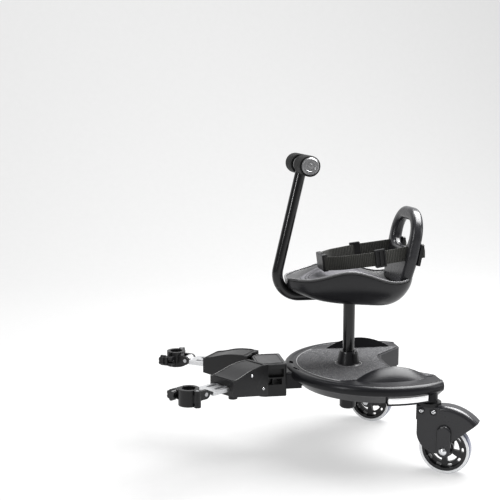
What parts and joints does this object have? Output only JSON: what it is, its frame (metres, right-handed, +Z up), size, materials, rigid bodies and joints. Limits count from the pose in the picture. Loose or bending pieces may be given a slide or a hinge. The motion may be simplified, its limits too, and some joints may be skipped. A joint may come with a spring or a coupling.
{
  "type": "ride-on buggy board with seat",
  "caption": "Ride-on board for a stroller: moulded deck on swivel casters, post-mounted seat with backrest and belt, T-handle, and telescopic arms ending in hinged tube clamps.",
  "frame": {"origin": "on the floor, at the centre of the outline seen from above", "axes": "+Z up, -Y forward towards the stroller, +X the rider's left"},
  "size_m": [0.4241, 0.6046, 0.6215],
  "materials": {
    "charcoal_shell": "satin moulded",
    "black_plastic": "fine moulded texture",
    "grey_plastic": "satin moulded",
    "mat_rubber": "speckled non-slip",
    "reflector": "retroreflective white",
    "black_tube": "gloss powder coat",
    "steel": "plated",
    "bright_steel": "polished",
    "pale_bar": "satin",
    "hub_black": "gloss",
    "clear_tyre": "clear polyurethane",
    "seat_grey": "satin",
    "pad_lilac": "soft foam",
    "grip_rubber": "matt",
    "cap_silver": "satin silver",
    "webbing": "ribbed webbing"
  },
  "bodies": {
    "deck": {"deck_shell": "charcoal_shell", "deck_mat": "mat_rubber", "reflector_left": "reflector", "reflector_right": "reflector", "post_socket": "black_plastic", "post_collar": "charcoal_shell", "socket_screws": "steel", "caster_bushes": "black_plastic", "connector_box": "black_plastic", "connector_cover": "grey_plastic", "connector_bolts": "steel", "arm_pivot_pins": "steel"},
    "latch": {"post_latch": "black_plastic"},
    "seat": {"seat_post": "black_tube", "seat_bracket": "black_plastic", "seat_bolts": "steel", "seat_shell": "charcoal_shell", "seat_top": "seat_grey", "seat_pad": "pad_lilac", "backrest": "charcoal_shell", "handle_tube": "black_tube", "grip_left": "grip_rubber", "grip_right": "grip_rubber", "grip_caps": "cap_silver", "belt_left": "webbing", "belt_right": "webbing", "buckle_female": "hub_black", "buckle_male": "hub_black", "belt_slides": "hub_black"},
    "caster_left": {"caster_stem_left": "steel", "caster_block_left": "black_plastic", "caster_hood_left": "charcoal_shell", "caster_rivets_left": "bright_steel", "axle_bolt_left": "bright_steel"},
    "wheel_left": {"wheel_hub_left": "hub_black", "wheel_tyre_left": "clear_tyre", "wheel_bearings_left": "steel"},
    "arm_left": {"arm_housing_left": "black_plastic"},
    "bar_left": {"arm_bar_left": "pale_bar"},
    "plunger_left": {"bar_plunger_left": "black_plastic"},
    "clamp_left": {"clamp_saddle_left": "black_plastic", "clamp_pins_left": "steel"},
    "jaw_left": {"clamp_jaw_left": "black_plastic"},
    "knob_left": {"clamp_knob_left": "black_plastic"},
    "caster_right": {"caster_stem_right": "steel", "caster_block_right": "black_plastic", "caster_hood_right": "charcoal_shell", "caster_rivets_right": "bright_steel", "axle_bolt_right": "bright_steel"},
    "wheel_right": {"wheel_hub_right": "hub_black", "wheel_tyre_right": "clear_tyre", "wheel_bearings_right": "steel"},
    "arm_right": {"arm_housing_right": "black_plastic"},
    "bar_right": {"arm_bar_right": "pale_bar"},
    "plunger_right": {"bar_plunger_right": "black_plastic"},
    "clamp_right": {"clamp_saddle_right": "black_plastic", "clamp_pins_right": "steel"},
    "jaw_right": {"clamp_jaw_right": "black_plastic"},
    "knob_right": {"clamp_knob_right": "black_plastic"}
  },
  "joints": [
    {"name": "seat_lift", "type": "slide", "parent": "deck", "child": "seat", "axis": [0, 0, 1], "range_m": [0, 0.1]},
    {"name": "latch_press", "type": "slide", "parent": "deck", "child": "latch", "axis": [-0.9063, -0.4226, 0], "range_m": [0, 0.0025], "stiffness_N_per_m": 400},
    {"name": "caster_swivel_left", "type": "hinge", "parent": "deck", "child": "caster_left", "pos_m": [0.143, 0.211, 0.14], "axis": [0, 0, 1], "continuous": true},
    {"name": "wheel_spin_left", "type": "hinge", "parent": "caster_left", "child": "wheel_left", "pos_m": [0.16152, 0.23951, 0.05], "axis": [0.8387, -0.5446, 0], "continuous": true},
    {"name": "arm_yaw_left", "type": "hinge", "parent": "deck", "child": "arm_left", "pos_m": [0.022, -0.096, 0.1643], "axis": [0, 0, 1], "range_deg": [-20, 25]},
    {"name": "bar_slide_left", "type": "slide", "parent": "arm_left", "child": "bar_left", "axis": [0.5736, -0.8192, 0], "range_m": [-0.02, 0.03]},
    {"name": "plunger_pull_left", "type": "slide", "parent": "arm_left", "child": "plunger_left", "axis": [0, 0, -1], "range_m": [0, 0.006], "stiffness_N_per_m": 300},
    {"name": "clamp_pitch_left", "type": "hinge", "parent": "bar_left", "child": "clamp_left", "pos_m": [0.12295, -0.24017, 0.174], "axis": [0.8192, 0.5736, 0], "range_deg": [-70, 20]},
    {"name": "jaw_swing_left", "type": "hinge", "parent": "clamp_left", "child": "jaw_left", "pos_m": [0.16092, -0.25082, 0.174], "axis": [0, 0, 1], "range_deg": [0, 110]},
    {"name": "knob_turn_left", "type": "hinge", "parent": "jaw_left", "child": "knob_left", "pos_m": [0.11587, -0.28236, 0.174], "axis": [0.5736, -0.8192, 0], "continuous": true},
    {"name": "caster_swivel_right", "type": "hinge", "parent": "deck", "child": "caster_right", "pos_m": [-0.143, 0.211, 0.14], "axis": [0, 0, 1], "continuous": true},
    {"name": "wheel_spin_right", "type": "hinge", "parent": "caster_right", "child": "wheel_right", "pos_m": [-0.1644, 0.18458, 0.05], "axis": [-0.7771, 0.6293, 0], "continuous": true},
    {"name": "arm_yaw_right", "type": "hinge", "parent": "deck", "child": "arm_right", "pos_m": [-0.022, -0.096, 0.1643], "axis": [0, 0, -1], "range_deg": [-20, 25]},
    {"name": "bar_slide_right", "type": "slide", "parent": "arm_right", "child": "bar_right", "axis": [-0.5736, -0.8192, 0], "range_m": [-0.02, 0.03]},
    {"name": "plunger_pull_right", "type": "slide", "parent": "arm_right", "child": "plunger_right", "axis": [0, 0, -1], "range_m": [0, 0.006], "stiffness_N_per_m": 300},
    {"name": "clamp_pitch_right", "type": "hinge", "parent": "bar_right", "child": "clamp_right", "pos_m": [-0.12295, -0.24017, 0.174], "axis": [0.8192, -0.5736, 0], "range_deg": [-70, 20]},
    {"name": "jaw_swing_right", "type": "hinge", "parent": "clamp_right", "child": "jaw_right", "pos_m": [-0.16092, -0.25082, 0.174], "axis": [0, 0, -1], "range_deg": [0, 110]},
    {"name": "knob_turn_right", "type": "hinge", "parent": "jaw_right", "child": "knob_right", "pos_m": [-0.11587, -0.28236, 0.174], "axis": [-0.5736, -0.8192, 0], "continuous": true}
  ]
}
